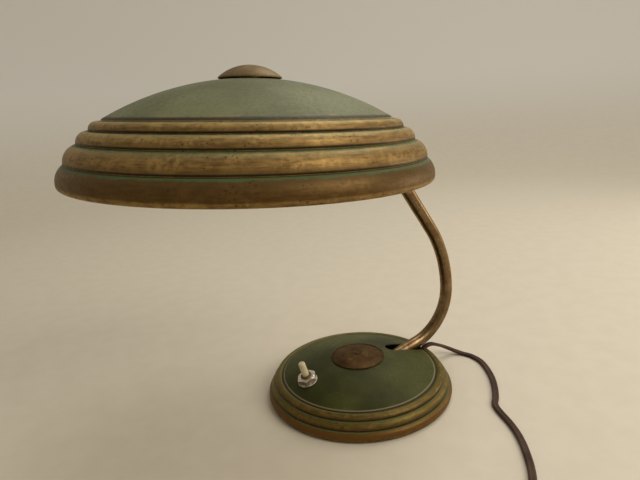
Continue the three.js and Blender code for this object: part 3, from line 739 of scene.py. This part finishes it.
def reflector_finish():
    """Cream paint inside the shade, browned a little by the bulb's heat."""
    look = Look("reflector_cream", "green_paint")
    haze = look.noise(22, 4, 0.6)
    colour = look.mix(look.fade(haze, 0.35, 0.7), (0.62, 0.56, 0.42), (0.74, 0.69, 0.56))
    look.set("Base Color", look.mix(look.specks(170, 0.12, 24), colour, (0.2, 0.13, 0.07)))
    look.set("Roughness", look.fade(haze, 0.3, 0.7, 0.36, 0.52))
    look.bump(look.noise(500, 2), 0.14, 0.06)
    return look.material


def opal_finish():
    look = Look("opal_glass", "opal_glass")
    haze = look.noise(60, 3)
    look.set("Base Color", look.mix(look.fade(haze, 0.3, 0.7), (0.76, 0.75, 0.71), (0.86, 0.85, 0.82)))
    look.set("Roughness", look.fade(haze, 0.3, 0.7, 0.12, 0.22))
    look.set("Coat Weight", 0.5)
    return look.material


SHADE_FINISH = stepped_finish(
    "shade_finish",
    paint=((0.095, 0.106, 0.048), (0.150, 0.164, 0.084)),
    bronze={
        "dark": (0.160, 0.092, 0.031),
        "middle": (0.340, 0.212, 0.070),
        "gilt": (0.470, 0.305, 0.100),
        "lowest": (0.063, 0.030, 0.006),
    },
    groove_paint=(0.066, 0.102, 0.040),
    groove=2.2,
    chips=0.8,
    edge_wear_and_highlight=0.15,
)
BASE_FINISH = stepped_finish(
    "base_finish",
    paint=((0.017, 0.022, 0.002), (0.053, 0.061, 0.013)),
    bronze={
        "dark": (0.082, 0.043, 0.012),
        "middle": (0.160, 0.093, 0.026),
        "gilt": (0.235, 0.145, 0.040),
        "lowest": (0.125, 0.058, 0.013),
    },
    groove_paint=(0.085, 0.098, 0.032),
    groove=1.4,
    chips=0.25,
    edge_wear_and_highlight=0.55,
)
ARM_BRASS = aged_metal(
    "arm_brass", "aged_brass",
    dark=(0.135, 0.082, 0.038), mid=(0.205, 0.134, 0.068), light=(0.300, 0.212, 0.120),
    roughness=0.27, metallic=0.95, scale=45,
)
SHADE_CAP = aged_metal(
    "shade_cap", "bronzed_steel",
    dark=(0.095, 0.064, 0.025), mid=(0.150, 0.104, 0.044), light=(0.220, 0.155, 0.068),
    roughness=0.5, metallic=0.35, scale=45,
)
BASE_CAP = aged_metal(
    "base_cap", "bronzed_steel",
    dark=(0.026, 0.011, 0.002), mid=(0.060, 0.028, 0.006), light=(0.125, 0.068, 0.017),
    roughness=0.5, metallic=0.5, scale=60,
)
BRASS = bright_metal("brass", "brass", (0.60, 0.43, 0.19), (0.28, 0.19, 0.085))
NICKEL = bright_metal("worn_nickel", "worn_nickel", (0.90, 0.84, 0.74), (0.48, 0.40, 0.30), 0.3, 240)
STEEL = bright_metal("steel", "steel", (0.42, 0.41, 0.40), (0.20, 0.17, 0.14), 0.34)
IVORY = moulded("ivory", "ivory", (0.54, 0.46, 0.28), (0.66, 0.59, 0.41), 0.36, 150)
BAKELITE = moulded(
    "brown_bakelite", "brown_bakelite", (0.022, 0.010, 0.006), (0.045, 0.021, 0.011),
    roughness=0.26, scale=90, coat=0.15,
)
VINYL = moulded(
    "cord_brown", "cord_brown", (0.040, 0.018, 0.010), (0.064, 0.031, 0.018),
    roughness=0.5, scale=60, shine=0.25,
)
PORCELAIN = moulded(
    "porcelain", "porcelain", (0.66, 0.64, 0.57), (0.74, 0.72, 0.67),
    roughness=0.14, scale=60, coat=0.6,
)
FELT = felt_finish()
CAST_IRON = cast_finish()
REFLECTOR = reflector_finish()
OPAL = opal_finish()


# ---- base --------------------------------------------------------------------

NO_GROOVE = 99  # a distance, in millimetres, that is out of every groove's reach


def stepped_outside(dome_top, bore, edge, starts, widest, lift):
    """A dome's outside and its beads, with the tags that its finish reads at each point.

    band is 1 on a bead. start and end are the millimetres from where a bead starts and ends; on the
    dome, end is 0.4 times the distance to its edge, so that the dark line of painted shadow and the
    pale edge line there are wider. low rises to 1 on the lowest bead.
    """
    outline = dome(dome_top, edge, bore, edge[0], 28)
    tags = {
        "band": [0] * len(outline),
        "start": [NO_GROOVE] * len(outline),
        "end": [math.dist(p, outline[-1]) * 0.4 for p in outline],
        "low": [0] * len(outline),
    }
    spans = bead_spans(starts, widest, lift)
    for i, (first, last) in enumerate(spans):
        points = bead(first, last, 20)
        along = [0]
        for a, b in zip(points, points[1:]):
            along.append(along[-1] + math.dist(a, b))
        past_end = 9 if i == len(spans) - 1 else 0  # the lowest bead ends in no groove
        outline += points
        tags["band"] += [1] * len(points)
        tags["start"] += along
        tags["end"] += [along[-1] - here + past_end for here in along]
        tags["low"] += [((i + 1) / len(spans)) ** 4] * len(points)
    return outline, tags


def add_bare(outline, tags, points, low):
    """Adds bare bronze points that belong to no groove to an outline and its tags."""
    outline.extend(points)
    for tag, value in {"band": 1, "start": NO_GROOVE, "end": NO_GROOVE, "low": low}.items():
        tags[tag].extend([value] * len(points))


def stadium(start, end, half):
    """A slot with round ends along X."""
    return arc((end - half, 0), half, -90, 90, 24) + arc((start + half, 0), half, 90, 270, 24)


def base_shell():
    wall = 1.4
    beads = (BASE_BEADS, BASE_WIDEST, BASE_LIFT)
    outline, tags = stepped_outside(BASE_DOME_TOP, SHELL_BORE, BASE_EDGE, *beads)
    foot = [(90, 3.4), (89.75, 2.4)]
    lip = arc((88.9, 1.7), 0.7, 0, -90, 5) + arc((88.2, 1.5), 0.5, -90, -180, 3)
    edge = (BASE_EDGE[0] - wall, BASE_EDGE[1] - wall)
    under = dome(BASE_DOME_TOP - wall, edge, SHELL_BORE, edge[0], 16)
    add_bare(outline, tags, foot + lip + lining(*beads, wall) + under[::-1], 0)
    slot = prism(stadium(*SLOT_ENDS, SLOT_HALF_WIDTH), 16, BASE_DOME_TOP)
    slot.transform(Matrix.Translation((0, SLOT_MIDDLE * MM, 0)))
    hole = BUTTON_HOLE_RADIUS
    button_hole = lathe([(0, -8), (hole, -8), (hole, 8), (0, 8)], 48)
    button_hole.transform(SWITCH)
    skin("base_shell", lathe(outline, 256, tags), BASE_FINISH, cutters=[slot, button_hole])


def base_cap():
    rim, top, bore = (25.7, 33.0), 36.2, 3
    over = dome(top, rim, bore, rim[0] - 0.4, 24)
    edge = arc((rim[0] - 0.45, rim[1] + 0.15), 0.45, 60, -70, 6)
    clear = (BASE_EDGE[0], BASE_EDGE[1] + 0.3)
    under = dome(BASE_DOME_TOP + 0.3, clear, bore, rim[0] - 0.8, 8)
    skin("base_cap", lathe(over + edge + under[::-1], 160), BASE_CAP)
    nub = BASE_DOME_TOP + 3.2
    stud = [(0, 14), (4, 14), (4, 31.7), (6.2, 31.7), (6.2, 33.7), (2.6, 33.7), (2.6, nub - 0.9)]
    skin("base_cap_stud", lathe([*stud, *arc((1.6, nub - 1), 1, 0, 90, 8), (0, nub)], 64), BASE_CAP)


def base_underside():
    radius, low, high = reach("felt_pad", LAMP)
    felt = softened([(0, low), (radius, low), (radius, high), (0, high)], 0.5)
    skin("felt_pad", lathe(felt, 160), FELT)
    radius, low, high = reach("bottom_plate", LAMP)
    skin("bottom_plate", lathe([(8, low), (radius, low), (radius, high), (8, high)], 160), STEEL)


def press_switch():
    """Ivory button in a bronzed bushing, with its nickel hexagon nut and washer on the dome."""
    radius, low, high = reach("switch_washer", SWITCH)
    skin("switch_washer", ring(5.3, radius, low, high, 0.35), NICKEL, SWITCH)
    _, low, high = reach("switch_nut", SWITCH)
    skin("switch_nut", nut(16, 5.3, low, high), NICKEL, SWITCH)
    bushing = [(3.5, -4.2), (8, -4.2), (8, -2.5), (5, -2.5), (5, 7.4), (4.5, 8.1), (3.5, 8.1)]
    skin("switch_bushing", lathe(softened(bushing, 0.25, 3), 72), SHADE_CAP, SWITCH)
    _, low, high = reach("switch_button", SWITCH)
    stem = [(0, low), (2, low), (2, -6.6), (5.6, -6.6), (5.6, -4.6), (3.15, -4.6)]
    groove = [(3.15, high - 3.4), (2.75, high - 3.1), (2.75, high - 2.6), (3.15, high - 2.3)]
    crown = [*arc((1.75, high - 1.4), 1.4, 0, 80, 10), (0, high)]
    skin("switch_button", lathe(stem + groove + crown, 72), IVORY, SWITCH)


def switch_spring():
    """Coil spring under the button."""
    outer, low, high = reach("switch_spring", SWITCH)
    wire, turns, steps = 0.4, 4, 160
    section, rings = arc((outer - wire, 0), wire, 0, 330, 11), []
    for i in range(steps + 1):
        angle = 2 * math.pi * turns * i / steps
        height = low + wire + (high - low - 2 * wire) * i / steps
        out = Vector((math.cos(angle), math.sin(angle), 0))
        rings.append([(out * x + Vector((0, 0, height + y))) * MM for x, y in section])
    piece = skin("switch_spring", sweep(rings), STEEL, SWITCH)
    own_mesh(piece)


# ---- arm ---------------------------------------------------------------------

def arm_line(skip_start, step=2.0):
    """Places in metres and headings in radians along the arm's centreline."""
    x, z = HINGE.x / MM, HINGE.z / MM
    heading = math.radians(ARM_RISE)
    stations, travelled = [], 0
    for size, *bend in ARM_RUN:
        length = size * math.radians(bend[0]) if bend else size
        count = math.ceil(length / step)
        for _ in range(count):
            if travelled >= skip_start:
                stations.append((Vector((x, 0, z)) * MM, heading))
            turn = length / count / size if bend else 0
            x += length / count * math.cos(heading + turn / 2)
            z += length / count * math.sin(heading + turn / 2)
            heading += turn
            travelled += length / count
    stations.append((TUBE_END.copy(), heading))
    return stations


def tube_rings(stations, radius, segments=48):
    rings = []
    for place, heading in stations:
        normal = Vector((-math.sin(heading), 0, math.cos(heading)))
        circle = arc((0, 0), radius, 0, 360, segments)[:-1]
        rings.append([place + (Vector((0, x, 0)) + normal * y) * MM for x, y in circle])
    return rings


def arm_pieces():
    stations = arm_line(FOOT_LENGTH)
    tube = tube_rings(stations, TUBE_RADIUS) + tube_rings(stations, TUBE_BORE_RADIUS)[::-1]
    skin("arm_tube", sweep(tube, capped=False), ARM_BRASS)
    end = Matrix.Translation(TUBE_END) @ FACING_X
    collar = softened([(6.45, 0), (8.6, 0), (8.6, 9), (6.45, 9)], 0.6)
    hole = prism(arc((0, 0), 1.7, 0, 360, 24)[:-1], 0, 12)
    hole.transform(Matrix.Translation((0, 0, 4.5 * MM)) @ FACING_X)
    skin("arm_collar", lathe(collar, 96), ARM_BRASS, end, cutters=[hole])


def turned_fork():
    """The fork's shank in the tube, and its two cheeks on the shade's pin."""
    shank = [(0, 11), (6, 11), (6, 16.7), (4.5, 16.7), (4.5, 31), (0, 31)]
    skin("knuckle_fork", lathe(softened(shank, 0.5), 72), ARM_BRASS, FORK @ FACING_X)
    for side in (-1, 1):
        cheek = prism(lever(6.5, 0, 14, 5), 4.7 * side - 1.3, 4.7 * side + 1.3)
        name = "fork_cheek_right" if side > 0 else "fork_cheek_left"
        add_piece(name, "swivel", cheek, ARM_BRASS, FORK @ FACING_FRONT, soft=0.5)
    bolt = [(0, -13.4), (3, -13.4), (3, 6.3), (5, 6.3), (5, 9.7), (0, 9.7)]
    driver_slot = prism([(-7, -0.6), (7, -0.6), (7, 0.6), (-7, 0.6)], 8.5, 12)
    turned_bolt = lathe(softened(bolt, 0.5), 72)
    skin("knuckle_bolt", turned_bolt, BRASS, FORK @ FACING_FRONT, cutters=[driver_slot])
    skin("knuckle_washer", ring(3.3, 5.6, -7.6, -6.3), STEEL, FORK @ FACING_FRONT)
    skin("knuckle_nut", nut(10, 3.3, -12.6, -7.9, 0.6), BRASS, FORK @ FACING_FRONT)


# ---- shade -------------------------------------------------------------------

def shade_shell():
    bore, wall = 5.4, 1
    beads = (SHADE_BEADS, SHADE_WIDEST, SHADE_LIFT)
    outline, tags = stepped_outside(SHADE_DOME_TOP, bore, SHADE_EDGE, *beads)
    hem = arc((SHADE_WIDEST[0] - HEM_RADIUS, -HEM_DROP), HEM_RADIUS, 0, -180, 18)
    add_bare(outline, tags, hem, 0.4)
    lined_from = len(outline) - 1
    edge = (SHADE_EDGE[0] - wall, SHADE_EDGE[1] - wall)
    under = dome(SHADE_DOME_TOP - wall, edge, bore, edge[0], 24)
    add_bare(outline, tags, lining(*beads, wall) + under[::-1], 0)
    shell = lathe(outline, 288, tags, lined_from=lined_from)
    skin("shade_shell", shell, SHADE_FINISH, SHADE, lining_look=REFLECTOR)


def shade_top():
    """The cap over the dome, and the spacer that holds it clear."""
    rim, top, wall = (24.8, SHADE_DOME_TOP + 0.6), SHADE_DOME_TOP + 9.8, 1.2
    boss = SHADE_DOME_TOP + 4.6
    over = dome(top, rim, 0, rim[0] - 0.3, 26)
    edge = arc((rim[0] - 0.45, rim[1] - 0.45), 0.45, 40, -110, 7)
    under = dome(top - wall, (rim[0] - wall, rim[1] - 0.4), 8, rim[0] - 1.6, 14)
    socket = [(8, boss), (5.4, boss), (5.4, boss + 2.4), (0, boss + 2.4)]
    skin("shade_cap", lathe(over[1:] + edge + under[::-1] + socket + [(0, top)], 160), SHADE_CAP, SHADE)
    radius, low, high = reach("cap_spacer", SHADE)
    skin("cap_spacer", ring(5.4, radius, low, high, 0.3), BRASS, SHADE)


def shade_bracket():
    """Cast bracket from the shade's pin up to a boss on the nipple."""
    pin = SHADE.inverted() @ KNUCKLE / MM
    half, thick, boss_top = 4, 3.1, SHADE_DOME_TOP - 1.9
    boss_low = boss_top - 5
    side = SHADE @ FACING_FRONT
    upright = lever(6, 90, boss_low - pin.z - 1, half)
    at_pin = side @ Matrix.Translation((pin.x * MM, pin.z * MM, 0))
    skin("shade_bracket", prism(upright, -thick, thick), ARM_BRASS, at_pin, soft=0.8)
    corner = pin.x + half

    def under_dome(r):
        return boss_top - r * r / 440 - 0.9

    crossbar = [
        (10, boss_low), (pin.x - half - 3, boss_low - 2), (pin.x - half, boss_low - 5),
        (corner, boss_low - 5), (corner, under_dome(corner) - 1), (corner - 2, under_dome(corner)),
        (pin.x / 2, under_dome(pin.x / 2)), (10, under_dome(11)),
    ]
    add_piece("bracket_crossbar", "shade", prism(crossbar, -thick, thick), ARM_BRASS, side, soft=0.8)
    add_piece("bracket_boss", "shade", ring(5.4, 11, boss_low, boss_top, 0.8), ARM_BRASS, SHADE)


def lampholder():
    _, low, high = reach("lock_nut", SHADE)
    skin("lock_nut", nut(15, 5.4, low, high, 0.5), BRASS, SHADE)
    radius, low, high = reach("nipple", SHADE)
    skin("nipple", ring(3.4, radius, low, high, 0.3, 48), BRASS, SHADE)
    radius, low, high = reach("holder_cap", SHADE)
    cap = [(5.4, high), (9, high), *arc((9, high - 6), 6, 84, 0, 10), (radius, low + 2), (radius, low)]
    inside = [(radius - 2, low), (radius - 2, high - 6), (10, high - 2), (5.4, high - 2)]
    skin("holder_cap", lathe(cap + inside, 96), BAKELITE, SHADE)
    radius, low, high = reach("holder_body", SHADE)
    body = [(2.6, high), (radius, high), (radius, low), (8, low), (8, high - 4), (2.6, high - 4)]
    skin("holder_body", lathe(softened(body, 0.5), 96), PORCELAIN, SHADE)
    radius, low, high = reach("holder_ring", SHADE)

    def fluted(r, angle):
        return r - 0.25 * (1 + math.cos(36 * angle)) if r > radius - 0.6 else r

    corners = [(14.5, low), (radius, low), (radius, high), (14.5, high)]
    skin("holder_ring", lathe(softened(corners, 0.6), 288, shape=fluted), BAKELITE, SHADE)


def bulb():
    _, low, high = reach("bulb_cap", SHADE)
    wall = [(7, high - 2), *arc((6.7, low + 0.5), 0.3, 0, -90, 4)]
    inside = [(6.2, low + 0.2), (6.2, high - 2.4), (2.8, high - 1)]
    skin("bulb_cap", lathe([(2.8, high), (5.6, high), *wall, *inside], 72), BRASS, SHADE)
    radius, low, high = reach("bulb_glass", SHADE)
    centre = low + radius
    neck = 5.9
    to_neck = 90 - math.degrees(math.asin(neck / radius))
    globe = [(0, low), *arc((0, centre), radius, -90, to_neck, 48)[1:]]
    hollow = arc((0, centre), radius - 0.8, to_neck, -90, 40)[:-1]
    outline = globe + [(neck, high), (neck - 0.8, high)] + hollow + [(0, low + 0.8)]
    skin("bulb_glass", lathe(outline, 128), OPAL, SHADE)


# ---- plug --------------------------------------------------------------------

def plug():
    """Two-pin plug with moulded grip ridges, lying on the coil. Its pins point along X."""
    low, high = box_mm("plug_body")
    centre = (low + high) / 2
    half = (high - low) / 2
    place = Matrix.Translation(centre * MM)
    neck, taper, steps = 4, 16, 12
    shares = [k / steps for k in range(steps + 1)]
    shoulder = [(-half.x + taper * t, neck + (half.y - neck) * smooth_step(t)) for t in shares]
    top = shoulder + [(half.x, half.y)]
    outline = top + [(x, -y) for x, y in top[::-1]]
    body = skin("plug_body", prism(outline, -half.z, half.z), BAKELITE, place, soft=1.8)
    pieces = [body]
    for i in range(4):
        x, reach_y = 3 + 3.2 * i, half.y - 4
        outline = [(x - 0.6, -reach_y), (x + 0.6, -reach_y), (x + 0.6, reach_y), (x - 0.6, reach_y)]
        ridge = prism(outline, half.z - 0.6, half.z + 0.5)
        pieces.append(add_piece(f"plug_ridge_{i + 1}", "base", ridge, BAKELITE, place, soft=0.4))
    for node in ("plug_pin_1", "plug_pin_2"):
        pin_low, pin_high = box_mm(node)
        radius, length = (pin_high.z - pin_low.z) / 2, pin_high.x - pin_low.x
        nose = arc((radius - 1.2, length - 1.2), 1.2, 0, 80, 6)
        at = Matrix.Translation(Vector((pin_low.x, (pin_low.y + pin_high.y) / 2, centre.z)) * MM)
        pin = lathe([(0, 0), (radius, 0), *nose, (0, length)], 40)
        pieces.append(skin(node, pin, BRASS, at @ FACING_X))
    return pieces


def cord_tie():
    """A rubber band round the coil's turns, pressed flat where it lies on the table."""
    low, high = box_mm("cord_coil")
    centre = (low + high) / 2
    half, top, bottom = CORD_WIDTH + 1, high.z + 0.5, 0.01
    turns_middle = high.x - centre.x - half + 0.3

    def loop(outwards, side):
        x, y = half + outwards, top + outwards
        corners = [(x, bottom), (x, y), (-x, y), (-x, bottom)]
        return [Vector((turns_middle + x, side, y)) * MM for x, y in softened(corners, 2, 5)]

    band = [loop(0, -2.5), loop(0.9, -2.5), loop(0.9, 2.5), loop(0, 2.5)]
    turn = Matrix.Rotation(math.radians(200), 4, "Z")
    place = Matrix.Translation(Vector((centre.x, centre.y, 0)) * MM) @ turn
    return add_piece("coil_tie", "base", sweep(band, capped=False), BAKELITE, place)


# ---- carried-over CAD nodes --------------------------------------------------

CARRIED_OVER = [
    (CAST_IRON, ["ballast"]),
    (STEEL, ["hinge_bracket", "hinge_screw_1", "hinge_screw_2", "hinge_bolt", "hinge_spring_washer"]),
    (STEEL, ["hinge_nut", "plate_screw_1", "plate_screw_2", "plate_screw_3", "arm_foot"]),
    (STEEL, ["swivel_grub_screw", "bulb_contact", "grip_screw"]),
    (BAKELITE, ["switch_body", "cord_grip"]),
    (VINYL, ["arm_lead", "base_lead"]),
    (BRASS, ["holder_contact"]),
    (PORCELAIN, ["bulb_stem"]),
]


def dress_carried_over():
    for look, nodes in CARRIED_OVER:
        for node in nodes:
            for material_slot in NODES[node].material_slots:
                material_slot.link = "OBJECT"
                material_slot.material = look


# ---- table, walls and light --------------------------------------------------

def add_stage():
    """A wide pale floor that curves up at its far edge into the colour of the room's wall."""
    radius, bend = 3200, 1700
    look = Look("studio_floor", "stage", roughness=0.65)
    cloud = look.noise(40, 3)
    table = look.mix(look.fade(cloud, 0.3, 0.7), (0.62, 0.57, 0.465), (0.645, 0.595, 0.49))
    height = look.node("ShaderNodeSeparateXYZ", {"Vector": look.place()}).outputs["Z"]
    look.set("Base Color", look.mix(look.fade(height, 0.0, 0.5), table, (0.74, 0.72, 0.67)))
    look.bump(look.noise(260, 3), 0.08, 0.2)
    rise = arc((radius - bend, bend), bend, -90, 0, 24)
    outline = [(0, 0), (700, 0), (1500, 0), *rise, (radius + 5, bend), (radius + 5, -5), (0, -5)]
    floor = to_object("studio_floor", lathe(outline, 128), LAMP)
    floor.data.materials.append(look.material)


def add_light(name, place, aim, size, power, colour):
    data = bpy.data.lights.new(name, "AREA")
    data.shape = "DISK"
    data.size = size
    data.energy = power
    data.color = colour
    lamp = bpy.data.objects.new(name, data)
    turn = (Vector(aim) - Vector(place)).to_track_quat("-Z", "Y")
    lamp.matrix_world = Matrix.Translation(place) @ turn.to_matrix().to_4x4()
    bpy.context.scene.collection.objects.link(lamp)


def add_lights():
    warm, soft = (1.0, 0.92, 0.80), (1.0, 0.95, 0.88)
    target = (0, 0, 0.12)
    add_light("key", (0.6, -1.0, 0.95), target, 1.0, 11, warm)
    add_light("high", (0.8, 0.55, 1.3), target, 0.9, 3, soft)
    add_light("side", (1.15, -0.3, 0.25), (0, 0, 0.03), 0.5, 2.2, warm)
    add_light("ceiling", (1.3, 0.8, 3.0), (0.6, 0.6, 0), 2.6, 28, soft)
    world = bpy.data.worlds.new("room")
    world.use_nodes = True
    world.node_tree.nodes["Background"].inputs["Color"].default_value = (0.62, 0.57, 0.49, 1)
    world.node_tree.nodes["Background"].inputs["Strength"].default_value = 0.56
    bpy.context.scene.world = world
    bpy.context.scene.view_settings.view_transform = "Standard"


# ---- the whole lamp ----------------------------------------------------------

add_cord(VINYL, [*plug(), cord_tie()])
base_shell()
base_cap()
base_underside()
press_switch()
switch_spring()
arm_pieces()
turned_fork()
shade_shell()
shade_top()
shade_bracket()
lampholder()
bulb()
dress_carried_over()
add_stage()
add_lights()
